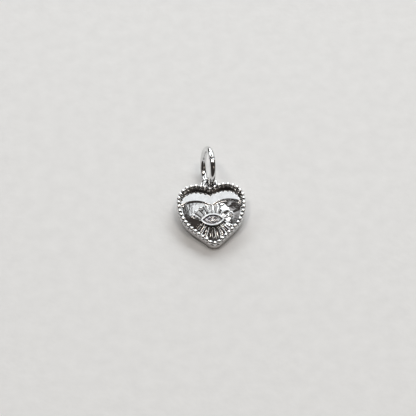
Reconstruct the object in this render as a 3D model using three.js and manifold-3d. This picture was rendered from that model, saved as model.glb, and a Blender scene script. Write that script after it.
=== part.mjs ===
// Heart charm: a shallow heart-shaped tray with a beaded rim, a sunburst plate, an almond-shaped
// stone in a bezel, a fixed loop at the cleft and an open jump ring that swings in the loop.
// Millimetres, +Z up. The charm lies face up on a table, as it does when it is put down:
// its tip and its jump ring touch the table, and the ring holds the heart's top a little up.

import * as THREE from 'three';
import { mergeVertices } from 'three/addons/utils/BufferGeometryUtils.js';
import Module from 'manifold-3d';

const wasm = await Module();
wasm.setup();

// Heart outline, on the line through the centres of the beads
const heartWidth = 10.0; // over the beads
const lobeRadius = 2.5;
const lobeCentreY = 2.44;
const lobeSweep = 100; // degrees, from the side of the heart to the start of the cleft curve
const cleftRadius = 6.3;
const sideRadius = 5.8;
const sideCentreY = 1.9;
const sideSweep = 46.5; // degrees
const tipRadius = 1.0;

// Tray: a flat back plate with a wall strip soldered on
const plateThickness = 0.2;
const plateChamfer = 0.05;
const wallThickness = 0.5;
const wallHeight = 0.79;

// Beaded wire on the wall
const beadDiameter = 0.68;
const beadCount = 44;
const beadFlat = 0.1; // filed off under each bead, where it sits on the wall
const beadCoreDiameter = 0.34;

// Sunburst plate inside the wall
const ledgeThickness = 0.35;
const fieldInset = 0.5; // from the bead line to the sunken field, at the sides
const stepLobeX = 2.4;
const stepLobeRadius = 3.4;
const stepLobeTop = 2.87;
const stepCleftRadius = 0.7;
const domeThickness = 0.42; // of the plate, under the eye
const domeRadius = 16;
const domeReach = 2.6; // from the eye's middle to the flatter border of the field
const borderRadius = 90;
const fieldThickness = 0.1; // the least, at the border's edge
const rayHeight = 0.1;
const rayReach = 1.75; // from the bezel
const rayPitch = 13; // degrees
const rayWidth = 8.5; // degrees
const raysEachSide = 4; // on either side of the middle one
const rayPoint = 0.12; // how far each ray's end comes to a point

// Eye: an almond-shaped stone in a bezel
const eyeY = -0.55;
const stoneLength = 3.0;
const stoneWidth = 1.6;
const girdleThickness = 0.04;
const crownHeight = 0.2;
const pavilionDepth = 0.45;
const tableShare = 0.56; // of the stone's length and width
const starHeight = 0.56; // of the crown's height, where the star and kite facets meet
const lowerShare = 0.34; // of the stone's length and width, where the pavilion's facets meet
const lowerDepth = 0.7; // of the pavilion's depth
const stoneLift = 0.13; // from the back plate to the stone's point
const bezelWall = 0.2;
const bezelRim = 0.05; // the bezel's top above the stone's table
const bezelLip = 0.05; // how far the bezel laps over the stone's edge
const bezelSeat = 0.2; // width of the shelf under the stone's edge
const bezelRound = 0.04;

// Fixed loop at the cleft
const loopWire = 0.75;
const loopHole = 1.23;
const loopStand = 0.02; // from the wall on either side of the cleft to the loop's hole
const loopZ = 0.6;

// Jump ring
const ringOuter = 6.2;
const ringWire = 0.9;
const ringSwing = 27; // degrees, up from the heart's plane, where it meets the beads
const ringLean = 13; // degrees, sideways in the loop
const ringTwist = -1; // degrees, of its far end towards the heart's right
const ringCut = 0.14;
const ringCutAngle = 67; // degrees, from the ring's far end

// Fits
const solderGap = 0.01;
const insertGap = 0.02;
const stoneGap = 0.02;
const hangGap = 0.03;

// Fineness of the facets
const arcStep = 6; // degrees
const almondSteps = 12; // on each of its two arcs
const stoneSides = 8;
const beadSides = 8;
const beadRows = 6;
const beadCoreSides = 4;
const loopSides = 12;
const loopSteps = 40;
const ringSides = 12;
const ringSteps = 60;
const domeRings = 4;
const borderRings = 2;
const domeSteps = 32;
const liftSteps = 40; // halvings in the search for the lift
const weldDistance = 1e-5;

// Worked out from the sizes above
const rad = THREE.MathUtils.degToRad;
const beadRadius = beadDiameter / 2;
const halfWidth = heartWidth / 2 - beadRadius;
const wallOut = wallThickness / 2;
const wallBottom = plateThickness + solderGap;
const wallTop = wallBottom + wallHeight;
const beadBottom = wallTop + solderGap;
const beadZ = beadBottom + beadRadius - beadFlat;
const insertBottom = plateThickness + solderGap;
const ledgeTop = insertBottom + ledgeThickness;
const domeTop = insertBottom + domeThickness;
const girdleBottom = plateThickness + stoneLift + pavilionDepth;
const girdleTop = girdleBottom + girdleThickness;
const bezelTop = girdleTop + crownHeight + bezelRim;
const loopRadius = (loopHole + loopWire) / 2;
const ringRadius = (ringOuter - ringWire) / 2;
const borderReach = 0.7 * heartWidth; // past the field's furthest corner
const above = 3; // clear of everything on the heart, for cutting tools

const metal = () => new THREE.MeshStandardMaterial({
  color: 0xd9dbdd, roughness: 0.08, metalness: 1, flatShading: true,
});
const glass = () => new THREE.MeshStandardMaterial({
  color: 0xf1eef6, roughness: 0.02, metalness: 0, transparent: true, opacity: 0.5, flatShading: true,
});

function arcPoints(centreX, centreY, radius, from, to) {
  const steps = Math.max(2, Math.ceil(Math.abs(to - from) / arcStep));
  const points = [];
  for (let i = 0; i <= steps; i += 1) {
    const angle = rad(from + (to - from) * i / steps);
    points.push(new THREE.Vector2(centreX + radius * Math.cos(angle), centreY + radius * Math.sin(angle)));
  }
  return points;
}

function withMirror(rightHalf) {
  const leftHalf = rightHalf.slice(1, -1).reverse().map((p) => new THREE.Vector2(-p.x, p.y));
  return [...rightHalf, ...leftHalf];
}

// The curve from the lobe into the cleft carries on the lobe with a larger radius
const lobeX = halfWidth - lobeRadius;
const cleftX = lobeX - (cleftRadius - lobeRadius) * Math.cos(rad(lobeSweep));
const cleftY = lobeCentreY - (cleftRadius - lobeRadius) * Math.sin(rad(lobeSweep));
const sideX = halfWidth - sideRadius;
const flank = sideX * Math.cos(rad(sideSweep)) - sideCentreY * Math.sin(rad(sideSweep)) + sideRadius;
const tipCentreY = -(flank - tipRadius) / Math.sin(rad(sideSweep));

// Anticlockwise from the tip, outset from the line of the beads
function heartOutline(outset) {
  const cleftEnd = THREE.MathUtils.radToDeg(Math.acos(-cleftX / (cleftRadius + outset)));
  const rightHalf = [
    ...arcPoints(0, tipCentreY, tipRadius + outset, -90, -sideSweep),
    ...arcPoints(sideX, sideCentreY, sideRadius + outset, -sideSweep, 0),
    ...arcPoints(lobeX, lobeCentreY, lobeRadius + outset, 0, lobeSweep),
    ...arcPoints(cleftX, cleftY, cleftRadius + outset, lobeSweep, cleftEnd).slice(1),
  ];
  rightHalf[0].x = 0;
  rightHalf[rightHalf.length - 1].x = 0;
  return withMirror(rightHalf);
}

const cleftCornerY = (outset) => cleftY + Math.sqrt((cleftRadius + outset) ** 2 - cleftX ** 2);

// Two equal arcs that meet at a point on each side
const almondRadius = (stoneLength ** 2 + stoneWidth ** 2) / (4 * stoneWidth);
const almondOffset = almondRadius - stoneWidth / 2;

function almondOutline(outset) {
  const radius = almondRadius + outset;
  const reach = Math.acos(almondOffset / radius);
  const points = [];
  for (const side of [-1, 1]) {
    for (let i = 0; i < almondSteps; i += 1) {
      const angle = -reach + 2 * reach * i / almondSteps;
      points.push(new THREE.Vector2(
        -side * radius * Math.sin(angle),
        eyeY + side * (radius * Math.cos(angle) - almondOffset),
      ));
    }
  }
  return points;
}

// One closed body from levels of an outline: each level is [outset, z], from the bottom up
function stack(outline, levels) {
  const rings = levels.map(([outset, z]) => outline(outset).map((p) => [p.x, p.y, z]));
  const count = rings[0].length;
  const caps = THREE.ShapeUtils.triangulateShape(outline(levels[0][0]), []);
  const last = (rings.length - 1) * count;
  const index = [];
  for (const [a, b, c] of caps) {
    index.push(a, c, b, last + a, last + b, last + c);
  }
  for (let i = 0; i + 1 < rings.length; i += 1) {
    bandFaces(index, i * count, (i + 1) * count, count);
  }
  return bodyFrom(rings.flat(2), index);
}

// A closed ring of section: each corner is [outset, z], round the section with its outer side going up
function hoop(outline, section) {
  const rings = section.map(([outset, z]) => outline(outset).map((p) => [p.x, p.y, z]));
  const count = rings[0].length;
  const index = [];
  for (let i = 0; i < rings.length; i += 1) {
    bandFaces(index, i * count, ((i + 1) % rings.length) * count, count);
  }
  return bodyFrom(rings.flat(2), index);
}

function bandFaces(index, lower, upper, count) {
  for (let j = 0; j < count; j += 1) {
    const next = (j + 1) % count;
    index.push(lower + j, lower + next, upper + next, lower + j, upper + next, upper + j);
  }
}

function bodyFrom(positions, index) {
  const geometry = new THREE.BufferGeometry();
  geometry.setAttribute('position', new THREE.Float32BufferAttribute(positions, 3));
  geometry.setIndex(index);
  return geometry;
}

function toSolid(geometry) {
  const bare = geometry.clone();
  bare.deleteAttribute('normal');
  bare.deleteAttribute('uv');
  const merged = mergeVertices(bare, weldDistance);
  const corners = merged.index.array;
  const triangles = [];
  for (let i = 0; i < corners.length; i += 3) {
    const [a, b, c] = corners.slice(i, i + 3);
    if (a !== b && b !== c && c !== a) {
      triangles.push(a, b, c);
    }
  }
  return new wasm.Manifold(new wasm.Mesh({
    numProp: 3,
    vertProperties: new Float32Array(merged.attributes.position.array),
    triVerts: new Uint32Array(triangles),
  }));
}

function toGeometry(solid) {
  const { vertProperties, triVerts } = solid.getMesh();
  return bodyFrom(Array.from(vertProperties), Array.from(triVerts));
}

function piece(name, geometry, material) {
  const mesh = new THREE.Mesh(geometry, material);
  mesh.name = name;
  return mesh;
}

function backPlate() {
  return stack(heartOutline, [
    [wallOut - plateChamfer, 0],
    [wallOut, plateChamfer],
    [wallOut, plateThickness],
  ]);
}

function sideWall() {
  return hoop(heartOutline, [
    [wallOut, wallBottom],
    [wallOut, wallTop],
    [-wallOut, wallTop],
    [-wallOut, wallBottom],
  ]);
}

// Beads at an even pitch along the wire, one at the tip and one in the cleft
function beadCentres() {
  const line = new THREE.Path().setFromPoints([...heartOutline(0), heartOutline(0)[0]]);
  return line.getSpacedPoints(beadCount).slice(0, beadCount);
}

function beadedRim() {
  const centres = beadCentres();
  let rim = null;
  centres.forEach((centre, i) => {
    const bead = new THREE.SphereGeometry(beadRadius, beadSides, beadRows);
    bead.rotateX(Math.PI / 2);
    bead.translate(centre.x, centre.y, beadZ);
    rim = rim === null ? toSolid(bead) : rim.add(toSolid(bead));
    rim = rim.add(beadLink(centre, centres[(i + 1) % beadCount]));
  });
  const below = stack(heartOutline, [[beadDiameter, -above], [beadDiameter, beadBottom]]);
  return toGeometry(rim.subtract(toSolid(below)));
}

// The wire's thin neck between two beads
function beadLink(from, to) {
  const step = to.clone().sub(from);
  const link = new THREE.CylinderGeometry(beadCoreDiameter / 2, beadCoreDiameter / 2, step.length(), beadCoreSides);
  link.rotateZ(step.angle() - Math.PI / 2);
  link.translate((from.x + to.x) / 2, (from.y + to.y) / 2, beadZ);
  return toSolid(link);
}

// The sunken field follows the wall at the sides, and its top edge is two lobes and a rounded cleft
function stepOutline() {
  const lobeY = stepLobeTop - stepLobeRadius;
  const cleftCentreY = lobeY + Math.sqrt((stepLobeRadius + stepCleftRadius) ** 2 - stepLobeX ** 2);
  const meet = THREE.MathUtils.radToDeg(Math.atan2(cleftCentreY - lobeY, -stepLobeX));
  const rightHalf = [
    new THREE.Vector2(0, tipCentreY - heartWidth),
    new THREE.Vector2(stepLobeX + stepLobeRadius, tipCentreY - heartWidth),
    ...arcPoints(stepLobeX, lobeY, stepLobeRadius, 0, meet),
    ...arcPoints(0, cleftCentreY, stepCleftRadius, meet - 180, -90).slice(1),
  ];
  rightHalf[rightHalf.length - 1].x = 0;
  return withMirror(rightHalf);
}

// A low dome centred on the eye with a flatter border round it, solid down to well below the plate
function domeBody(rise) {
  const profile = [new THREE.Vector2(0, -above), new THREE.Vector2(borderReach, -above)];
  for (let i = borderRings; i > 0; i -= 1) {
    const radius = domeReach + (borderReach - domeReach) * i / borderRings;
    const drop = domeReach ** 2 / (2 * domeRadius) + (radius ** 2 - domeReach ** 2) / (2 * borderRadius);
    profile.push(new THREE.Vector2(radius, Math.max(insertBottom + fieldThickness, domeTop - drop) + rise));
  }
  for (let i = domeRings; i >= 0; i -= 1) {
    const radius = domeReach * i / domeRings;
    profile.push(new THREE.Vector2(radius, domeTop - radius ** 2 / (2 * domeRadius) + rise));
  }
  const dome = new THREE.LatheGeometry(profile, domeSteps);
  dome.rotateX(Math.PI / 2);
  dome.translate(0, eyeY, 0);
  return toSolid(dome);
}

// Each ray widens outward, square to the eye's rim, so the upper rays spread from the centre
// of the eye's upper arc and the lower ones from the centre of its lower arc
function rayBlank(side, turn) {
  const start = almondRadius;
  const end = almondRadius + bezelWall + rayReach;
  const middle = rad(90 + turn);
  const half = rad(rayWidth / 2);
  const corners = [
    [start, -half],
    [end - rayPoint, -half],
    [end, 0],
    [end - rayPoint, half],
    [start, half],
  ].map(([radius, offset]) => new THREE.Vector2(
    radius * Math.cos(middle + offset) * side,
    eyeY + side * (radius * Math.sin(middle + offset) - almondOffset),
  ));
  return toSolid(stack(() => corners, [[0, insertBottom + solderGap], [0, above]]));
}

function sunburstPlate() {
  const edge = -wallOut - insertGap;
  let plate = toSolid(stack(heartOutline, [[edge, insertBottom], [edge, ledgeTop]]));
  const field = toSolid(stack(heartOutline, [[-fieldInset, insertBottom - above], [-fieldInset, above]]))
    .intersect(toSolid(stack(stepOutline, [[0, insertBottom - above], [0, above]])));
  plate = plate.subtract(field.subtract(domeBody(0)));
  const rayEdge = -fieldInset + insertGap; // the rays end just inside the ledge
  const raised = domeBody(rayHeight)
    .intersect(toSolid(stack(heartOutline, [[rayEdge, insertBottom - above], [rayEdge, above]])));
  for (const side of [-1, 1]) {
    for (let i = -raysEachSide; i <= raysEachSide; i += 1) {
      plate = plate.add(rayBlank(side, i * rayPitch).intersect(raised));
    }
  }
  const hole = bezelWall + insertGap;
  return toGeometry(plate.subtract(toSolid(stack(almondOutline, [[hole, -above], [hole, above]]))));
}

function eyeBezel() {
  const crownSlope = crownHeight / ((1 - tableShare) * stoneWidth / 2);
  const pavilionSlope = pavilionDepth / (stoneWidth / 2);
  const lipUnder = girdleTop + stoneGap + bezelLip * crownSlope;
  return hoop(almondOutline, [
    [bezelWall, insertBottom],
    [bezelWall, bezelTop - bezelRound],
    [bezelWall - bezelRound, bezelTop],
    [-bezelLip + bezelRound, bezelTop],
    [-bezelLip, bezelTop - bezelRound],
    [-bezelLip, lipUnder + stoneGap],
    [stoneGap, girdleTop + stoneGap],
    [stoneGap, girdleBottom - stoneGap],
    [-bezelSeat, girdleBottom - stoneGap - (bezelSeat + stoneGap) * pavilionSlope],
    [-bezelSeat, insertBottom],
  ]);
}

// Almond brilliant cut: a table, star and kite facets down to the girdle, and kites below to a point
function eyeStone() {
  const on = (turn, share, z) => {
    const angle = 2 * Math.PI * turn / stoneSides;
    const y = Math.sin(angle) * stoneWidth / 2;
    const reach = Math.sqrt(Math.max(almondRadius ** 2 - (Math.abs(y) + almondOffset) ** 2, 0));
    const x = Math.sign(Math.cos(angle)) * reach;
    return [x * share, y * share + eyeY, z];
  };
  const positions = [];
  const add = (point) => positions.push(point) - 1;
  const tableZ = girdleTop + crownHeight;
  const starShare = (1 + tableShare) / 2;
  const starZ = girdleTop + crownHeight * starHeight;
  const lowerZ = girdleBottom - pavilionDepth * lowerDepth;
  const table = [];
  const star = [];
  const upper = [];
  const lower = [];
  const low = [];
  for (let i = 0; i < stoneSides; i += 1) {
    table.push(add(on(i, tableShare, tableZ)));
    star.push(add(on(i + 0.5, starShare, starZ)));
    low.push(add(on(i + 0.5, lowerShare, lowerZ)));
  }
  for (let i = 0; i < 2 * stoneSides; i += 1) {
    upper.push(add(on(i / 2, 1, girdleTop)));
    lower.push(add(on(i / 2, 1, girdleBottom)));
  }
  const middle = add([0, eyeY, tableZ]);
  const point = add([0, eyeY, girdleBottom - pavilionDepth]);
  const index = [];
  for (let i = 0; i < stoneSides; i += 1) {
    const next = (i + 1) % stoneSides;
    const left = 2 * i;
    const mid = 2 * i + 1;
    const right = (2 * i + 2) % (2 * stoneSides);
    index.push(middle, table[i], table[next]);
    index.push(table[i], star[i], table[next]);
    index.push(table[i], upper[left], star[i]);
    index.push(star[i], upper[right], table[next]);
    index.push(upper[left], upper[mid], star[i]);
    index.push(upper[mid], upper[right], star[i]);
    index.push(upper[left], lower[left], lower[mid], upper[left], lower[mid], upper[mid]);
    index.push(upper[mid], lower[mid], lower[right], upper[mid], lower[right], upper[right]);
    index.push(lower[left], low[i], lower[mid], lower[mid], low[i], lower[right]);
    index.push(lower[left], point, low[i], low[i], point, lower[right]);
  }
  return bodyFrom(positions.flat(), index);
}

// A round wire loop in the cleft, whose hole just clears the wall on either side
const loopY = cleftCornerY(wallOut + loopHole / 2 + loopStand);

function fixedLoop() {
  const loop = new THREE.TorusGeometry(loopRadius, loopWire / 2, loopSides, loopSteps);
  loop.translate(0, loopY, loopZ);
  const wall = wallOut + solderGap;
  const beads = beadRadius + solderGap;
  return toGeometry(toSolid(loop)
    .subtract(toSolid(stack(heartOutline, [[wall, -above], [wall, above]])))
    .subtract(toSolid(stack(heartOutline, [[beads, wallTop - solderGap], [beads, above]]))));
}

// The ring hangs from the loop's outer arc, with the loop's wire at the origin here and the
// ring's far end towards +Y. Without its lean and twist it would lie in the YZ plane
const hang = ringRadius - (ringWire + loopWire) / 2 - hangGap;
const ringTurn = new THREE.Matrix4().makeRotationZ(rad(ringTwist))
  .multiply(new THREE.Matrix4().makeRotationY(rad(ringLean)));

function jumpRing() {
  const ring = new THREE.TorusGeometry(ringRadius, ringWire / 2, ringSides, ringSteps);
  ring.rotateY(Math.PI / 2);
  const cut = new THREE.BoxGeometry(2 * ringWire, 2 * ringWire, ringCut);
  cut.translate(0, ringRadius, 0);
  cut.rotateX(rad(ringCutAngle));
  const open = toGeometry(toSolid(ring).subtract(toSolid(cut)));
  open.applyMatrix4(ringTurn);
  open.translate(0, hang, 0);
  return open;
}

const heart = new THREE.Group();
heart.add(piece('back_plate', backPlate(), metal()));
heart.add(piece('side_wall', sideWall(), metal()));
heart.add(piece('beaded_rim', beadedRim(), metal()));
heart.add(piece('sunburst_plate', sunburstPlate(), metal()));
heart.add(piece('eye_bezel', eyeBezel(), metal()));
heart.add(piece('eye_stone', eyeStone(), glass()));
heart.add(piece('fixed_loop', fixedLoop(), metal()));

const hinge = new THREE.Group();
hinge.position.set(0, loopY + loopRadius, loopZ);
hinge.rotation.x = rad(ringSwing);
hinge.add(piece('jump_ring', jumpRing(), metal()));
heart.add(hinge);

// How far the heart's top is lifted, so that its tip and the ring rest on one flat table
function liftAngle() {
  const swing = hinge.matrixWorld;
  const centre = new THREE.Vector3(0, hang, 0).applyMatrix4(swing);
  const normal = new THREE.Vector3(1, 0, 0).transformDirection(ringTurn).transformDirection(swing);
  const tipY = tipCentreY - tipRadius - wallOut + plateChamfer;
  const heightOver = (angle) => {
    const up = new THREE.Vector3(0, Math.sin(angle), Math.cos(angle));
    const ringReach = ringRadius * Math.sqrt(1 - normal.dot(up) ** 2) + ringWire / 2;
    return centre.dot(up) - ringReach - tipY * up.y;
  };
  let low = 0;
  let high = Math.PI / 4;
  for (let i = 0; i < liftSteps; i += 1) {
    const middle = (low + high) / 2;
    if (heightOver(middle) < 0) {
      low = middle;
    } else {
      high = middle;
    }
  }
  return low;
}

const charm = new THREE.Group();
heart.updateMatrixWorld(true);
heart.rotation.x = liftAngle();
charm.add(heart);
charm.updateMatrixWorld(true);
const box = new THREE.Box3().setFromObject(charm, true);
heart.position.set(-(box.min.x + box.max.x) / 2, -(box.min.y + box.max.y) / 2, -box.min.z);

export default charm;
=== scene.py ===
import math

import bpy
import numpy as np
from mathutils import Matrix, Vector


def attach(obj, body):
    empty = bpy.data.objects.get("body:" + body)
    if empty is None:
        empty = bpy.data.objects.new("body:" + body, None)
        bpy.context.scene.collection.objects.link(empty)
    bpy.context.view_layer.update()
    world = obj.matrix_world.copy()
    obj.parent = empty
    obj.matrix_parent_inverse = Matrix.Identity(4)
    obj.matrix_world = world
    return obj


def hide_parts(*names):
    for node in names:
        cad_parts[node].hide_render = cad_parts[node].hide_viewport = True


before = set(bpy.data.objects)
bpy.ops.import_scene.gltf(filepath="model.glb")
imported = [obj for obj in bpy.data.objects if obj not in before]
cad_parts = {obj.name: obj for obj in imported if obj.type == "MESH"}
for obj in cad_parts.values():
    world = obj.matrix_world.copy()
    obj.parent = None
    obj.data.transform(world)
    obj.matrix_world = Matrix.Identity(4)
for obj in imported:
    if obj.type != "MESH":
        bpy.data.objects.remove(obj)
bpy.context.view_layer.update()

MM = 0.001

# Sizes from the part's source, or worked out from them, in millimetres and degrees
HEART_WIDTH = 10.0
LOBE_RADIUS = 2.5
LOBE_CENTRE_Y = 2.44
LOBE_SWEEP = 100
CLEFT_RADIUS = 6.3
SIDE_RADIUS = 5.8
SIDE_CENTRE_Y = 1.9
SIDE_SWEEP = 46.5
TIP_RADIUS = 1.0
PLATE_TOP = 0.2
PLATE_EDGE = 0.05
WALL_BOTTOM = 0.21
WALL_TOP = 1.0
WALL_OUT = 0.25
BEAD_RADIUS = 0.34
BEAD_COUNT = 44
BEAD_BOTTOM = 1.01
BEAD_Z = 1.25
CORE_RADIUS = 0.17
INSERT_EDGE = -0.27
LEDGE_TOP = 0.56
STEP_LOBE_X = 2.4
STEP_LOBE_RADIUS = 3.4
STEP_LOBE_TOP = 2.87
STEP_CLEFT_RADIUS = 0.7
DOME_TOP = 0.63
DOME_REACH = 2.6
DOME_RADIUS = 16.0
BORDER_RADIUS = 90.0
RAY_HEIGHT = 0.1
RAY_REACH = 1.75
RAY_PITCH = 13.0
RAY_WIDTH = 8.5
RAYS_EACH_SIDE = 4
RAY_POINT = 0.12
EYE_Y = -0.55
STONE_LENGTH = 3.0
STONE_WIDTH = 1.6
STONE_SIDES = 8
STONE_GAP = 0.02
CROWN_HEIGHT = 0.2
PAVILION_DEPTH = 0.45
TABLE_SHARE = 0.56
STAR_HEIGHT = 0.56
LOWER_SHARE = 0.34
LOWER_DEPTH = 0.7
BEZEL_WALL = 0.2
BEZEL_TOP = 1.07
BEZEL_LIP = 0.05
BEZEL_SEAT = 0.2
INSERT_GAP = 0.02
GIRDLE_BOTTOM = 0.78
GIRDLE_TOP = 0.82
LOOP_RADIUS = 0.99
LOOP_WIRE = 0.375
LOOP_Z = 0.6
LOOP_STAND = 0.02
SOLDER_GAP = 0.01
RING_RADIUS = 2.65
RING_WIRE = 0.45
RING_HANG = 1.795
RING_SWING = 27.0
RING_LEAN = 13.0
RING_TWIST = -1.0
RING_CUT = 0.14
RING_CUT_ANGLE = 67.0
LIFT = 7.428598329584017
HEART_AT = (0.0, -2.8145585015811596, 0.6251784223789133)

# Sizes of the drawn model alone, in millimetres and degrees
FIELD_INSET = 0.34  # the solids have 0.5, which would show a bright strip of ledge
DOME_WIDER = [(186, 30, 3.0), (46, 28, 3.3)]  # where it reaches further: angle, spread, reach
DOME_SOFT = 0.3  # half the width of the turn from the dome into its border
DOME_SPAN = 8  # from the eye's middle to past the plate's edge
STEP_SOFT = 0.22  # width of the slope from the ledge to the field
RAY_SOFT = 0.1  # width of the slope round each ray
WIRE_PLAY = 0.008  # the loop's wire is this much thinner, so the ring swings clear of it
BEAD_VARIATION = 0.03  # share by which a bead may be smaller
BEAD_SEED = 44
PLATE_BEVEL = 0.02  # on the back plate's top edge
PLATE_RIM = 0.5  # a row of points this far in keeps the bottom's shading flat
WALL_ROUNDING = [0.02, 0.07, 0.05, 0.02]
BEZEL_ROUNDING = [0, 0.03, 0.02, 0, 0, 0, 0, 0]
FLAT_HOLD = 0.006  # length of the short edges beside a rounded corner
LIP_CLEARANCE = 0.05  # from the girdle up to the edge of the bezel's lip
SEAT_DROP = 0.15  # from the girdle down to the inner edge of the bezel's shelf
RING_ENDS = [(0.0, 0.9), (0.012, 0.97), (0.03, 1.0)]  # from the cut: distance, share of the wire
CUTTER_REACH = 3  # up and down from the heart's underside, past the whole loop

# Fineness of the meshes
OUTLINE_POINTS = (16, 40, 48, 20)  # on the arcs of the tip, side, lobe and cleft
STEP_POINTS = (60, 20)  # on the arcs of the field's lobe and cleft
ALMOND_POINTS = 96  # on each arc
HOLE_POINTS = 600
INSERT_FINE = 8
BEAD_LINE_FINE = 4
PLATE_EDGE_TURNS = [22.5, 45, 67.5, 90]  # degrees
ROUNDING_STEPS = 5
DOME_SAMPLES = 801
BEAD_SIDES = 28
BEAD_ROWS = 16
CORE_STEP = 30  # degrees
WIRE_SIDES = 40
LOOP_STEPS = 128
RING_STEPS = 240
PLATE_AROUND = 720
PLATE_OUTWARD = 130

# The camera, as the photograph has it
MM_PER_PIXEL = 0.143
IMAGE_PIXELS = 416
CAMERA_TILT = 30.0  # degrees off the heart's normal, towards its tip
CAMERA_TURN = 4.5  # degrees round the heart's normal
CAMERA_DISTANCE = 350.0  # millimetres
ORIGIN_PIXEL = (212.4, 215.2)  # the middle of the heart's own frame, at the beads' height
SENSOR_WIDTH = 36.0

# Each silver's look. Rough is a range. Reach is how near, in metres, another surface, the floor
# included, makes a recess. Levels are the openness, from 0 to 1, at which the darkening is full
# and at which it ends, and shade and dull are the darkening's brightness and roughness. The
# darkening is painted shade in the recesses, partly tarnish as well, and painted shade alone where
# the floor is near
FINISHES = {
    "polished_silver": dict(
        tint=0.88, rough=(0.04, 0.12), scratches=(1, 12, 1),
        reach=0.0003, levels=(0.4, 0.85), shade=0.03, dull=0.1, uneven=0.42,
    ),
    # Drawn darker than the polished silver, as painted shade
    "ring_silver": dict(
        tint=0.76, rough=(0.05, 0.12), scratches=(1, 1, 12),
        reach=0.0002, levels=(0.4, 0.85), shade=0.03, dull=0.1, uneven=0.2,
    ),
    # Drawn darker than the polished silver, as painted shade, and its wide reach paints shade on
    # the wall next to the floor
    "side_silver": dict(
        tint=0.84, rough=(0.05, 0.14), scratches=(1, 1, 12),
        reach=0.0012, levels=(0.3, 0.95), shade=0.26, dull=0.3, uneven=0.6,
    ),
    "bead_silver": dict(
        tint=0.88, rough=(0.04, 0.12), scratches=(1, 12, 1),
        reach=0.00033, levels=(0.56, 1.0), shade=0.03, dull=0.1, uneven=0.6,
    ),
    # Drawn darker than the polished silver, as painted shade
    "loop_silver": dict(
        tint=0.78, rough=(0.05, 0.12), scratches=(1, 1, 12),
        reach=0.0006, levels=(0.35, 0.95), shade=0.03, dull=0.1, uneven=0.25,
    ),
}

# Colour of the darkening in recesses: painted shade, partly tarnish as well
TARNISH_AND_SHADE_TINT = (1, 0.9, 0.84)
RECESS_SAMPLES = 8

# Textures: scales in cells a metre, and bumps with their strength and their height in metres
HAZE_SCALE = 900.0
HAZE_SHARE = 0.9
WEAR_SCALE = 2600.0
SCRATCH_SCALE = 5000.0
SCRATCH_BUMP = (0.06, 0.000004)
WAVE_SCALE = 1800.0
WAVE_STRETCH = (1.6, 1, 1)
WAVE_HEIGHT = 0.000015
# The diffuse share left over shows the stone's painted sparkle
STONE_TRANSMISSION = 0.76
STONE_IOR = 2.15
CELL_SCALE = 2400.0
# Painted sparkle: purple-grey and white cells in the stone's colour
CELL_PAINTED_SPARKLE = [(0.35, (0.5, 0.46, 0.56)), (0.65, (1.0, 0.99, 1.0))]
CELL_BUMP = (0.9, 0.00012)
FOG_SCALE = 4000.0
FOG_ROUGHNESS = 0.02
PAPER_ROUGHNESS = 0.95
PAPER_SHEEN = 0.2
FIBRE_SCALE = 500.0
TOOTH_SCALE = 1200.0
TOOTH_BUMP = (0.25, 0.00012)

# The soft lights: name, azimuth, elevation, distance, size, level and colour
WHITE = (1, 1, 1)
COOL = (0.95, 0.985, 1.0)
WARM = (1.0, 0.93, 0.86)
AMBER = (1.0, 0.84, 0.7)
LIGHTS = [
    ("key", 55, 61, 0.6, 0.026, 9.0, WHITE),
    ("key_low", 48, 67, 0.6, 0.02, 6.0, WHITE),
    ("key_edge", 64, 59, 0.6, 0.03, 5.0, WHITE),
    ("top", 85.5, 67, 0.6, 0.08, 0.95, (0.95, 0.98, 1.0)),
    ("top_right", 73, 64, 0.62, 0.05, 0.35, WHITE),
    ("top_left", 104, 59, 0.6, 0.08, 0.45, WHITE),
    ("top_back", 86, 51, 0.6, 0.12, 0.45, WHITE),
    ("right", 25, 36, 1.2, 0.4, 3.0, COOL),
    ("back_right", 55, 40, 1.2, 0.54, 4.4, COOL),
    ("back", 88, 26, 1.2, 0.7, 4.6, COOL),
    ("back_left", 138, 34, 1.2, 0.4, 4.0, COOL),
    ("over_right", 350, 71, 0.9, 0.2, 9.5, WARM),
    ("over_left", 188, 71, 0.9, 0.2, 10.5, WARM),
    ("fill_right", 318, 38, 0.6, 0.1, 1.4, AMBER),
    ("fill_upper", 306, 48, 0.6, 0.07, 1.0, AMBER),
]
WORLD_COLOUR = (0.045, 0.04, 0.037, 1)
FLOOR_HALF = 1.2  # metres


# Outlines, in the heart's own frame


def worked_out_outline():
    half = HEART_WIDTH / 2 - BEAD_RADIUS
    lobe_x = half - LOBE_RADIUS
    turn = math.radians(LOBE_SWEEP)
    side = math.radians(SIDE_SWEEP)
    cleft_x = lobe_x - (CLEFT_RADIUS - LOBE_RADIUS) * math.cos(turn)
    cleft_y = LOBE_CENTRE_Y - (CLEFT_RADIUS - LOBE_RADIUS) * math.sin(turn)
    side_x = half - SIDE_RADIUS
    flank = side_x * math.cos(side) - SIDE_CENTRE_Y * math.sin(side) + SIDE_RADIUS
    tip_y = -(flank - TIP_RADIUS) / math.sin(side)
    return lobe_x, cleft_x, cleft_y, side_x, tip_y


LOBE_X, CLEFT_X, CLEFT_Y, SIDE_X, TIP_Y = worked_out_outline()
ALMOND_RADIUS = (STONE_LENGTH**2 + STONE_WIDTH**2) / (4 * STONE_WIDTH)
ALMOND_OFFSET = ALMOND_RADIUS - STONE_WIDTH / 2


def arc(cx, cy, radius, start, end, count):
    angles = np.radians(np.linspace(start, end, count))
    return np.stack([cx + radius * np.cos(angles), cy + radius * np.sin(angles)], axis=1)


def with_mirror(right):
    left = right[-2:0:-1] * (-1, 1)
    return np.concatenate([right, left])


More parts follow.
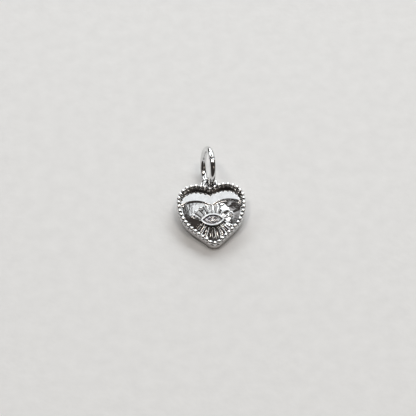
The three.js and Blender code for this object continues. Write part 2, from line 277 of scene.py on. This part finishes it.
def heart_outline(outset, fine=1):
    """Anticlockwise from the tip, outset from the bead line, with as many points at any outset."""
    cleft_end = math.degrees(math.acos(-CLEFT_X / (CLEFT_RADIUS + outset)))
    tip, side, lobe, cleft = (count * fine for count in OUTLINE_POINTS)
    right = np.concatenate([
        arc(0, TIP_Y, TIP_RADIUS + outset, -90, -SIDE_SWEEP, tip),
        arc(SIDE_X, SIDE_CENTRE_Y, SIDE_RADIUS + outset, -SIDE_SWEEP, 0, side)[1:],
        arc(LOBE_X, LOBE_CENTRE_Y, LOBE_RADIUS + outset, 0, LOBE_SWEEP, lobe)[1:],
        arc(CLEFT_X, CLEFT_Y, CLEFT_RADIUS + outset, LOBE_SWEEP, cleft_end, cleft)[1:],
    ])
    right[0, 0] = 0
    right[-1, 0] = 0
    return with_mirror(right)


def step_outline():
    """The field's top edge, two lobes and a rounded cleft, carried down past the heart's tip."""
    lobe_y = STEP_LOBE_TOP - STEP_LOBE_RADIUS
    cleft_y = lobe_y + math.sqrt((STEP_LOBE_RADIUS + STEP_CLEFT_RADIUS) ** 2 - STEP_LOBE_X**2)
    meet = math.degrees(math.atan2(cleft_y - lobe_y, -STEP_LOBE_X))
    far = TIP_Y - HEART_WIDTH
    lobe, cleft = STEP_POINTS
    right = np.concatenate([
        np.array([[0, far], [STEP_LOBE_X + STEP_LOBE_RADIUS, far]]),
        arc(STEP_LOBE_X, lobe_y, STEP_LOBE_RADIUS, 0, meet, lobe),
        arc(0, cleft_y, STEP_CLEFT_RADIUS, meet - 180, -90, cleft)[1:],
    ])
    right[-1, 0] = 0
    return with_mirror(right)


def almond_outline(outset, count=ALMOND_POINTS):
    """Two equal arcs of count points that meet at a point on each side."""
    radius = ALMOND_RADIUS + outset
    reach = math.acos(ALMOND_OFFSET / radius)
    angles = -reach + 2 * reach * np.arange(count) / count
    halves = []
    for side in (-1, 1):
        x = -side * radius * np.sin(angles)
        y = EYE_Y + side * (radius * np.cos(angles) - ALMOND_OFFSET)
        halves.append(np.stack([x, y], axis=1))
    return np.concatenate(halves)


def ray_polygon(side, turn):
    """One ray: it widens outward, square to the eye's rim, and comes to a point."""
    start = ALMOND_RADIUS
    end = ALMOND_RADIUS + BEZEL_WALL + RAY_REACH
    middle = math.radians(90 + turn)
    half = math.radians(RAY_WIDTH / 2)
    corners = [
        (start, -half),
        (end - RAY_POINT, -half),
        (end, 0),
        (end - RAY_POINT, half),
        (start, half),
    ]
    return np.array([
        (
            radius * math.cos(middle + offset) * side,
            EYE_Y + side * (radius * math.sin(middle + offset) - ALMOND_OFFSET),
        )
        for radius, offset in corners
    ])


def signed_distance(points, polygon):
    """Distance from each point to a closed polygon, negative inside it."""
    best = np.full(len(points), np.inf)
    inside = np.zeros(len(points), dtype=bool)
    x, y = points[:, 0], points[:, 1]
    for (ax, ay), (bx, by) in zip(polygon, np.roll(polygon, -1, axis=0)):
        ex, ey = bx - ax, by - ay
        length = ex * ex + ey * ey
        if length == 0:
            continue
        t = np.clip(((x - ax) * ex + (y - ay) * ey) / length, 0, 1)
        best = np.minimum(best, (x - ax - t * ex) ** 2 + (y - ay - t * ey) ** 2)
        if ay != by:
            crosses = ((ay > y) != (by > y)) & (x < ax + (y - ay) * ex / ey)
            inside ^= crosses
    distance = np.sqrt(best)
    return np.where(inside, -distance, distance)


def smooth_step(value):
    value = np.clip(value, 0, 1)
    return value * value * (3 - 2 * value)


# From millimetres in the heart's own frame, and in the jump ring's, to the shared frame
HEART_FRAME = (
    Matrix.Scale(MM, 4)
    @ Matrix.Translation(HEART_AT)
    @ Matrix.Rotation(math.radians(LIFT), 4, "X")
)
LOOP_REACH = CLEFT_RADIUS + WALL_OUT + LOOP_RADIUS - LOOP_WIRE + LOOP_STAND
LOOP_Y = CLEFT_Y + math.sqrt(LOOP_REACH**2 - CLEFT_X**2)
RING_FRAME = (
    HEART_FRAME
    @ Matrix.Translation((0, LOOP_Y + LOOP_RADIUS, LOOP_Z))
    @ Matrix.Rotation(math.radians(RING_SWING), 4, "X")
    @ Matrix.Translation((0, RING_HANG, 0))
    @ Matrix.Rotation(math.radians(RING_TWIST), 4, "Z")
    @ Matrix.Rotation(math.radians(RING_LEAN), 4, "Y")
)


# Meshes


def new_object(name, vertices, faces):
    mesh = bpy.data.meshes.new(name)
    mesh.from_pydata([tuple(v) for v in vertices], [], faces)
    piece = bpy.data.objects.new(name, mesh)
    bpy.context.scene.collection.objects.link(piece)
    return piece


def make_piece(
    name, shape, material, node, body="heart", place=HEART_FRAME, sharp=40
):
    vertices, faces = shape
    piece = new_object(name, vertices, faces)
    piece.data.transform(place)
    piece.data.validate()
    piece.data.update()
    finish_piece(piece, body, material, node, sharp)


def finish_piece(piece, body, material, node, sharp):
    """Edges that bend by more than sharp, in degrees, stay crisp."""
    piece.data.shade_smooth()
    piece.data.set_sharp_from_angle(angle=math.radians(sharp))
    piece.data.materials.clear()
    piece.data.materials.append(material)
    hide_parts(node)
    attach(piece, body)


def bands(rows, count, closed):
    """Quads between loops of count points, and from the last loop to the first if closed."""
    faces = []
    for i in range(rows if closed else rows - 1):
        lower, upper = i * count, ((i + 1) % rows) * count
        for j in range(count):
            k = (j + 1) % count
            faces.append((lower + j, lower + k, upper + k, upper + j))
    return faces


def end_caps(rows, count):
    """A face over the first row and one over the last."""
    last = (rows - 1) * count
    return [tuple(range(count - 1, -1, -1)), tuple(range(last, last + count))]


def rounded(section, radii):
    """A closed section, each corner rounded to its own radius. Short edges keep the flats flat."""
    points = []
    count = len(section)
    for i in range(count):
        here = Vector(section[i])
        to_last = (Vector(section[i - 1]) - here).normalized()
        to_next = (Vector(section[(i + 1) % count]) - here).normalized()
        if radii[i] == 0:
            points.append(tuple(here))
            continue
        half = to_last.angle(to_next) / 2
        reach = radii[i] / math.tan(half)
        centre = here + (to_last + to_next).normalized() * (radii[i] / math.sin(half))
        first = here + to_last * reach - centre
        last = here + to_next * reach - centre
        points.append(tuple(centre + first + to_last * FLAT_HOLD))
        for k in range(ROUNDING_STEPS + 1):
            spoke = first.lerp(last, k / ROUNDING_STEPS).normalized() * radii[i]
            points.append(tuple(centre + spoke))
        points.append(tuple(centre + last + to_next * FLAT_HOLD))
    return points


def level_rows(outline, levels):
    """Rows of points on an outline, one for each level (outset, z)."""
    rows = []
    for outset, z in levels:
        flat = outline(outset)
        rows.append(np.column_stack([flat, np.full(len(flat), z)]))
    return rows


def hoop(outline, section):
    """Vertices and faces of a closed ring of section (outset, z) along an outline."""
    rows = level_rows(outline, section)
    return np.concatenate(rows), bands(len(rows), len(rows[0]), True)


def slab(outline, levels):
    """Vertices and faces of a solid from an outline's levels (outset, z), bottom first."""
    rows = level_rows(outline, levels)
    count = len(rows[0])
    faces = bands(len(rows), count, False) + end_caps(len(rows), count)
    return np.concatenate(rows), faces


def tube(path_point, steps, radius, closed):
    """A round wire, closed to a ring or capped at both ends.

    For each step, path_point gives the wire's centre, two directions square to the wire and its
    share of the radius.
    """
    turn = np.linspace(0, 2 * np.pi, WIRE_SIDES, endpoint=False)
    rows = []
    for i in range(steps):
        centre, outward, sideways, scale = path_point(i)
        spokes = np.cos(turn)[:, None] * outward + np.sin(turn)[:, None] * sideways
        rows.append(centre + radius * scale * spokes)
    faces = bands(len(rows), WIRE_SIDES, closed)
    if not closed:
        faces += end_caps(len(rows), WIRE_SIDES)
    return np.concatenate(rows), faces


# Materials


def new_material(name):
    material = bpy.data.materials.new(name)
    material.use_nodes = True
    nodes = material.node_tree.nodes
    return material, nodes, material.node_tree.links, nodes["Principled BSDF"]


def grey(level):
    return (level, level, level)


def add_ramp(nodes, links, source, stops):
    ramp = nodes.new("ShaderNodeValToRGB")
    elements = ramp.color_ramp.elements
    for element, (position, colour) in zip(elements, stops):
        element.position = position
        element.color = (*colour, 1)
    links.new(source, ramp.inputs["Fac"])
    return ramp.outputs["Color"]


def add_noise(nodes, links, scale, stretch=(1, 1, 1), detail=4.0):
    where = nodes.new("ShaderNodeTexCoord")
    mapping = nodes.new("ShaderNodeMapping")
    mapping.inputs["Scale"].default_value = stretch
    links.new(where.outputs["Object"], mapping.inputs["Vector"])
    noise = nodes.new("ShaderNodeTexNoise")
    noise.inputs["Scale"].default_value = scale
    noise.inputs["Detail"].default_value = detail
    links.new(mapping.outputs["Vector"], noise.inputs["Vector"])
    return noise.outputs["Fac"]


def add_bump(nodes, links, height, strength, distance):
    bump = nodes.new("ShaderNodeBump")
    bump.inputs["Strength"].default_value = strength
    bump.inputs["Distance"].default_value = distance
    links.new(height, bump.inputs["Height"])
    return bump


def polished_metal(name):
    """Silver with a faint haze, hairline scratches, recesses darkened by painted shade and partly
    by tarnish, and an uneven surface.
    """
    look = FINISHES[name]
    tint, shade = look["tint"], look["shade"]
    shut, clear = look["levels"]
    low, high = look["rough"]
    material, nodes, links, shader = new_material(name)
    shader.inputs["Metallic"].default_value = 1.0
    haze = add_noise(nodes, links, HAZE_SCALE)
    clean = add_ramp(nodes, links, haze, [(0.3, grey(tint * HAZE_SHARE)), (0.6, grey(tint))])
    # Ambient occlusion darkens and dulls the base colour: painted shade in recesses, between beads
    # and near the floor, partly tarnish
    recess = nodes.new("ShaderNodeAmbientOcclusion")
    recess.samples = RECESS_SAMPLES
    recess.inputs["Distance"].default_value = look["reach"]
    tarnish_and_shade = nodes.new("ShaderNodeMix")
    tarnish_and_shade.data_type = "RGBA"
    tarnish_and_shade.inputs["A"].default_value = (*(shade * c for c in TARNISH_AND_SHADE_TINT), 1)
    links.new(clean, tarnish_and_shade.inputs["B"])
    openness = add_ramp(
        nodes, links, recess.outputs["AO"], [(shut, grey(0.0)), (clear, grey(1.0))]
    )
    links.new(openness, tarnish_and_shade.inputs["Factor"])
    links.new(tarnish_and_shade.outputs["Result"], shader.inputs["Base Color"])
    wear = add_noise(nodes, links, WEAR_SCALE, detail=6.0)
    polish = nodes.new("ShaderNodeMix")
    polish.inputs["A"].default_value = look["dull"]
    worn = add_ramp(nodes, links, wear, [(0.35, grey(low)), (0.75, grey(high))])
    links.new(worn, polish.inputs["B"])
    links.new(openness, polish.inputs["Factor"])
    links.new(polish.outputs["Result"], shader.inputs["Roughness"])
    scratches = add_noise(nodes, links, SCRATCH_SCALE, stretch=look["scratches"], detail=2.0)
    hairlines = add_bump(nodes, links, scratches, *SCRATCH_BUMP)
    waves = add_noise(nodes, links, WAVE_SCALE, stretch=WAVE_STRETCH, detail=1.0)
    unevenness = add_bump(nodes, links, waves, look["uneven"], WAVE_HEIGHT)
    links.new(unevenness.outputs["Normal"], hairlines.inputs["Normal"])
    links.new(hairlines.outputs["Normal"], shader.inputs["Normal"])
    return material


def stone_glass():
    """Clear glass whose diffuse share is painted in small purple-grey and white cells, a painted
    sparkle of facets; each cell also has its own slope.
    """
    material, nodes, links, shader = new_material("stone_glass")
    shader.inputs["Transmission Weight"].default_value = STONE_TRANSMISSION
    shader.inputs["IOR"].default_value = STONE_IOR
    where = nodes.new("ShaderNodeTexCoord")
    cells = nodes.new("ShaderNodeTexVoronoi")
    cells.inputs["Scale"].default_value = CELL_SCALE
    links.new(where.outputs["Object"], cells.inputs["Vector"])
    # Painted sparkle of facets in the base colour
    painted_sparkle = add_ramp(nodes, links, cells.outputs["Color"], CELL_PAINTED_SPARKLE)
    links.new(painted_sparkle, shader.inputs["Base Color"])
    fog = add_noise(nodes, links, FOG_SCALE)
    misted = add_ramp(nodes, links, fog, [(0.55, grey(0.0)), (0.8, grey(FOG_ROUGHNESS))])
    links.new(misted, shader.inputs["Roughness"])
    facets = add_bump(nodes, links, cells.outputs["Distance"], *CELL_BUMP)
    links.new(facets.outputs["Normal"], shader.inputs["Normal"])
    return material


def paper_floor():
    """Pale paper with a faint fibre."""
    material, nodes, links, shader = new_material("paper")
    shader.inputs["Roughness"].default_value = PAPER_ROUGHNESS
    shader.inputs["Specular IOR Level"].default_value = PAPER_SHEEN
    fibre = add_noise(nodes, links, FIBRE_SCALE, detail=8.0)
    pale = add_ramp(nodes, links, fibre, [(0.3, grey(0.83)), (0.7, grey(0.87))])
    links.new(pale, shader.inputs["Base Color"])
    tooth = add_noise(nodes, links, TOOTH_SCALE, detail=6.0)
    bump = add_bump(nodes, links, tooth, *TOOTH_BUMP)
    links.new(bump.outputs["Normal"], shader.inputs["Normal"])
    return material


# Pieces


def build_back_plate(metal):
    levels = [(WALL_OUT - PLATE_RIM, 0.0), (WALL_OUT - PLATE_EDGE, 0.0)]
    levels += [
        (WALL_OUT - PLATE_EDGE + PLATE_EDGE * math.sin(a), PLATE_EDGE - PLATE_EDGE * math.cos(a))
        for a in np.radians(PLATE_EDGE_TURNS)
    ]
    levels += [(WALL_OUT, PLATE_TOP - PLATE_BEVEL), (WALL_OUT - PLATE_BEVEL, PLATE_TOP)]
    make_piece("tray_back", slab(heart_outline, levels), metal, "back_plate")


def build_side_wall(metal):
    section = [
        (WALL_OUT, WALL_BOTTOM),
        (WALL_OUT, WALL_TOP),
        (-WALL_OUT, WALL_TOP),
        (-WALL_OUT, WALL_BOTTOM),
    ]
    strip = hoop(heart_outline, rounded(section, WALL_ROUNDING))
    make_piece("tray_wall", strip, metal, "side_wall")


def even_points(line, count):
    """Points at an even pitch along a closed line."""
    closed = np.concatenate([line, line[:1]])
    steps = np.linalg.norm(np.diff(closed, axis=0), axis=1)
    along = np.concatenate([[0], np.cumsum(steps)])
    wanted = np.linspace(0, along[-1], count, endpoint=False)
    return np.stack([np.interp(wanted, along, closed[:, k]) for k in (0, 1)], axis=1)


def ball(centre, radius):
    """A bead with its underside filed flat where it sits on the wall."""
    vertices = [(centre[0], centre[1], BEAD_Z + radius)]
    for i in range(1, BEAD_ROWS):
        polar = math.pi * i / BEAD_ROWS
        for j in range(BEAD_SIDES):
            turn = 2 * math.pi * j / BEAD_SIDES
            z = BEAD_Z + radius * math.cos(polar)
            vertices.append((
                centre[0] + radius * math.sin(polar) * math.cos(turn),
                centre[1] + radius * math.sin(polar) * math.sin(turn),
                max(z, BEAD_BOTTOM),
            ))
    vertices.append((centre[0], centre[1], BEAD_BOTTOM))
    last = len(vertices) - 1
    bottom = 1 + (BEAD_ROWS - 2) * BEAD_SIDES
    faces = []
    for j in range(BEAD_SIDES):
        k = (j + 1) % BEAD_SIDES
        faces.append((0, 1 + j, 1 + k))
        for i in range(BEAD_ROWS - 2):
            upper, lower = 1 + i * BEAD_SIDES, 1 + (i + 1) * BEAD_SIDES
            faces.append((upper + j, lower + j, lower + k, upper + k))
        faces.append((bottom + j, last, bottom + k))
    return vertices, faces


def build_beaded_rim(metal):
    """The beads, each of its own size, on a thin core."""
    rng = np.random.default_rng(BEAD_SEED)
    parts = [
        ball(centre, BEAD_RADIUS * (1 - BEAD_VARIATION * rng.random()))
        for centre in even_points(heart_outline(0, BEAD_LINE_FINE), BEAD_COUNT)
    ]
    angles = np.radians(np.arange(0, 360, CORE_STEP))
    core = [(CORE_RADIUS * math.cos(a), BEAD_Z + CORE_RADIUS * math.sin(a)) for a in angles]
    parts.append(hoop(heart_outline, core))
    vertices, faces = [], []
    for more, quads in parts:
        start = len(vertices)
        vertices.extend(more)
        faces.extend(tuple(start + v for v in f) for f in quads)
    make_piece("bead_row", (vertices, faces), metal, "beaded_rim")


def dome_drop(reach):
    """Radius and drop of the domed field: steep up to its reach, then nearly flat."""
    radius = np.linspace(0, DOME_SPAN, DOME_SAMPLES)
    share = smooth_step((radius - reach + DOME_SOFT) / (2 * DOME_SOFT))
    slope = radius / DOME_RADIUS * (1 - share) + radius / BORDER_RADIUS * share
    return radius, np.concatenate([[0], np.cumsum((slope[1:] + slope[:-1]) / 2 * np.diff(radius))])


DOME_DROP = dome_drop(DOME_REACH)
WIDER_DROPS = [(at, spread, dome_drop(reach)) for at, spread, reach in DOME_WIDER]


def plate_height(points):
    """Height of the sunburst plate's top: a ledge, a sunken domed field and raised rays."""
    inside_heart = signed_distance(points, heart_outline(0)) + FIELD_INSET
    inside_step = signed_distance(points, step_outline())
    field = smooth_step(0.5 - np.maximum(inside_heart, inside_step) / STEP_SOFT)
    radius = np.hypot(points[:, 0], points[:, 1] - EYE_Y)
    angle = np.degrees(np.arctan2(points[:, 1] - EYE_Y, points[:, 0])) % 360
    drop = np.interp(radius, *DOME_DROP)
    for at, spread, wider in WIDER_DROPS:
        share = smooth_step(1 - np.abs(angle - at) / spread)
        drop += share * (np.interp(radius, *wider) - drop)
    dome = DOME_TOP - drop
    height = LEDGE_TOP + (dome - LEDGE_TOP) * field
    rays = np.zeros(len(points))
    for side in (-1, 1):
        for i in range(-RAYS_EACH_SIDE, RAYS_EACH_SIDE + 1):
            distance = signed_distance(points, ray_polygon(side, i * RAY_PITCH))
            rays = np.maximum(rays, smooth_step(0.5 - distance / RAY_SOFT))
    return height + RAY_HEIGHT * rays * field


def build_sunburst(metal):
    """The plate in rows of points, from the outline of its hole out to its edge."""
    turns = np.linspace(0, 2 * np.pi, PLATE_AROUND, endpoint=False)
    directions = np.stack([np.cos(turns), np.sin(turns)], axis=1)

    def reach(outline):
        spokes = outline - (0, EYE_Y)
        angles = np.arctan2(spokes[:, 1], spokes[:, 0]) % (2 * np.pi)
        order = np.argsort(angles)
        lengths = np.linalg.norm(spokes, axis=1)
        return np.interp(turns, angles[order], lengths[order], period=2 * np.pi)

    inner = reach(almond_outline(BEZEL_WALL + INSERT_GAP, HOLE_POINTS))
    outer = reach(heart_outline(INSERT_EDGE, INSERT_FINE))

    def spread(share):
        return directions * (inner + (outer - inner) * share)[:, None] + (0, EYE_Y)

    rows = []
    for share in np.linspace(0, 1, PLATE_OUTWARD):
        flat = spread(share)
        rows.append(np.column_stack([flat, plate_height(flat)]))
    for share in (1, 0):
        rows.append(np.column_stack([spread(share), np.full(PLATE_AROUND, WALL_BOTTOM)]))
    faces = [f[::-1] for f in bands(len(rows), PLATE_AROUND, True)]
    make_piece("sunburst", (np.concatenate(rows), faces), metal, "sunburst_plate", sharp=75)


def build_bezel(metal):
    """The rim over the stone's edge, with a shelf under it."""
    section = [
        (BEZEL_WALL, WALL_BOTTOM),
        (BEZEL_WALL, BEZEL_TOP),
        (-BEZEL_LIP, BEZEL_TOP),
        (-BEZEL_LIP, GIRDLE_TOP + LIP_CLEARANCE),
        (STONE_GAP, GIRDLE_TOP + STONE_GAP),
        (STONE_GAP, GIRDLE_BOTTOM - STONE_GAP),
        (-BEZEL_SEAT, GIRDLE_BOTTOM - SEAT_DROP),
        (-BEZEL_SEAT, WALL_BOTTOM),
    ]
    rim = hoop(almond_outline, rounded(section, BEZEL_ROUNDING))
    make_piece("eye_rim", rim, metal, "eye_bezel", sharp=50)


def build_loop(metal):
    """The wire loop, cut to the wall on either side of the cleft."""

    def point(i):
        turn = 2 * math.pi * i / LOOP_STEPS
        outward = np.array([math.cos(turn), math.sin(turn), 0])
        return outward * LOOP_RADIUS + (0, LOOP_Y, LOOP_Z), outward, np.array([0, 0, 1.0]), 1.0

    vertices, faces = tube(point, LOOP_STEPS, LOOP_WIRE - WIRE_PLAY, True)
    loop = new_object("hanging_loop", vertices, [f[::-1] for f in faces])
    levels = [(WALL_OUT + SOLDER_GAP, z) for z in (-CUTTER_REACH, CUTTER_REACH)]
    cutter = new_object("cutter", *slab(heart_outline, levels))
    cut = loop.modifiers.new("cut", "BOOLEAN")
    cut.operation = "DIFFERENCE"
    cut.solver = "EXACT"
    cut.object = cutter
    depsgraph = bpy.context.evaluated_depsgraph_get()
    done = bpy.data.meshes.new_from_object(loop.evaluated_get(depsgraph))
    loop.modifiers.clear()
    loop.data = done
    bpy.data.objects.remove(cutter)
    done.transform(HEART_FRAME)
    finish_piece(loop, "heart", metal, "fixed_loop", 40)


def build_ring(metal):
    """The ring in its own YZ plane, open at its cut, with the edges of its ends rounded."""
    half_cut = RING_CUT / 2 / RING_RADIUS
    start = math.radians(RING_CUT_ANGLE)
    end = start + 2 * math.pi - half_cut
    stops = [(start + half_cut + e / RING_RADIUS, s) for e, s in RING_ENDS]
    first, last = stops[-1][0], end - RING_ENDS[-1][0] / RING_RADIUS
    stops += [(a, 1.0) for a in np.linspace(first, last, RING_STEPS)[1:-1]]
    stops += [(end - e / RING_RADIUS, s) for e, s in RING_ENDS[::-1]]

    def point(i):
        turn, scale = stops[i]
        outward = np.array([0, math.cos(turn), math.sin(turn)])
        return outward * RING_RADIUS, outward, np.array([1.0, 0, 0]), scale

    wire = tube(point, len(stops), RING_WIRE, False)
    make_piece("hanging_ring", wire, metal, "jump_ring", "ring", RING_FRAME)


def stone_point(turn, share, z):
    """A point on the almond, drawn in to a share of its size. Turn counts the stone's sides."""
    angle = 2 * math.pi * turn / STONE_SIDES
    y = math.sin(angle) * STONE_WIDTH / 2
    reach = math.sqrt(max(ALMOND_RADIUS**2 - (abs(y) + ALMOND_OFFSET) ** 2, 0))
    return math.copysign(reach, math.cos(angle)) * share, y * share + EYE_Y, z


def build_stone(glass):
    """Table, star, kite and girdle facets above, two rings of facets down to a point below."""
    n = STONE_SIDES
    table_z = GIRDLE_TOP + CROWN_HEIGHT
    star_z = GIRDLE_TOP + CROWN_HEIGHT * STAR_HEIGHT
    low_z = GIRDLE_BOTTOM - PAVILION_DEPTH * LOWER_DEPTH
    vertices = [stone_point(i, TABLE_SHARE, table_z) for i in range(n)]
    vertices += [stone_point(i + 0.5, (1 + TABLE_SHARE) / 2, star_z) for i in range(n)]
    vertices += [stone_point(i + 0.5, LOWER_SHARE, low_z) for i in range(n)]
    vertices += [stone_point(i / 2, 1, GIRDLE_TOP) for i in range(2 * n)]
    vertices += [stone_point(i / 2, 1, GIRDLE_BOTTOM) for i in range(2 * n)]
    vertices.append((0, EYE_Y, GIRDLE_BOTTOM - PAVILION_DEPTH))
    point = len(vertices) - 1
    faces = [tuple(range(n))]
    for i in range(n):
        table, next_table = i, (i + 1) % n
        star, low = n + i, 2 * n + i
        upper = [3 * n + (2 * i + k) % (2 * n) for k in range(3)]
        lower = [5 * n + (2 * i + k) % (2 * n) for k in range(3)]
        faces += [(table, star, next_table), (table, upper[0], star), (star, upper[2], next_table)]
        faces += [(upper[0], upper[1], star), (upper[1], upper[2], star)]
        faces += [(lower[k], lower[k + 1], upper[k + 1], upper[k]) for k in (0, 1)]
        faces += [(lower[0], low, lower[1]), (lower[1], low, lower[2])]
        faces += [(lower[0], point, low), (low, point, lower[2])]
    make_piece("eye_crystal", (vertices, faces), glass, "eye_stone", sharp=1)


# Stage


def build_floor(material):
    half = FLOOR_HALF
    corners = [(-half, -half, 0), (half, -half, 0), (half, half, 0), (-half, half, 0)]
    floor = new_object("floor", corners, [(0, 1, 2, 3)])
    floor.data.materials.append(material)


def add_soft_box(name, azimuth, elevation, distance, size, level, colour):
    """A square soft light that faces the charm. Azimuth 0 is towards +X, and 90 towards +Y."""
    data = bpy.data.lights.new(name, "AREA")
    data.shape = "SQUARE"
    data.size = size
    data.energy = level * math.pi * size**2
    data.color = colour
    lamp = bpy.data.objects.new(name, data)
    bpy.context.scene.collection.objects.link(lamp)
    a, e = math.radians(azimuth), math.radians(elevation)
    away = Vector((math.cos(a) * math.cos(e), math.sin(a) * math.cos(e), math.sin(e)))
    lamp.location = away * distance
    lamp.rotation_mode = "QUATERNION"
    lamp.rotation_quaternion = away.to_track_quat("Z", "Y")


def build_lights():
    for light in LIGHTS:
        add_soft_box(*light)
    world = bpy.data.worlds.new("world")
    world.use_nodes = True
    world.node_tree.nodes["Background"].inputs["Color"].default_value = WORLD_COLOUR
    bpy.context.scene.world = world


def build_camera():
    """A long lens, so far off that the charm is drawn almost without perspective."""
    tilt, turn = math.radians(CAMERA_TILT), math.radians(CAMERA_TURN)
    away = Vector((
        -math.sin(turn) * math.sin(tilt),
        -math.cos(turn) * math.sin(tilt),
        math.cos(tilt),
    ))
    right = Vector((math.cos(turn), -math.sin(turn), 0))
    up = away.cross(right)
    lift = Matrix.Rotation(math.radians(LIFT), 3, "X")
    away, right, up = (lift @ v for v in (away, right, up))
    origin = Vector(HEART_AT) + lift @ Vector((0, 0, BEAD_Z))
    middle = IMAGE_PIXELS / 2
    shift_right = (ORIGIN_PIXEL[0] - middle) * MM_PER_PIXEL
    shift_up = (middle - ORIGIN_PIXEL[1]) * MM_PER_PIXEL
    target = origin - right * shift_right - up * shift_up
    data = bpy.data.cameras.new("camera")
    data.sensor_width = SENSOR_WIDTH
    data.lens = data.sensor_width * CAMERA_DISTANCE / (IMAGE_PIXELS * MM_PER_PIXEL)
    data.clip_start = 0.01
    data.clip_end = 10.0
    camera = bpy.data.objects.new("camera", data)
    bpy.context.scene.collection.objects.link(camera)
    rotation = Matrix((right, up, away)).transposed().to_4x4()
    camera.matrix_world = Matrix.Translation((target + away * CAMERA_DISTANCE) * MM) @ rotation
    bpy.context.scene.camera = camera


def main():
    build_camera()
    silver = polished_metal("polished_silver")
    wire = polished_metal("ring_silver")
    sides = polished_metal("side_silver")
    build_back_plate(sides)
    build_side_wall(sides)
    beads = polished_metal("bead_silver")
    build_beaded_rim(beads)
    build_sunburst(silver)
    build_bezel(silver)
    loop = polished_metal("loop_silver")
    build_loop(loop)
    build_ring(wire)
    build_stone(stone_glass())
    build_floor(paper_floor())
    build_lights()
    bpy.context.scene.view_settings.view_transform = "Standard"


main()
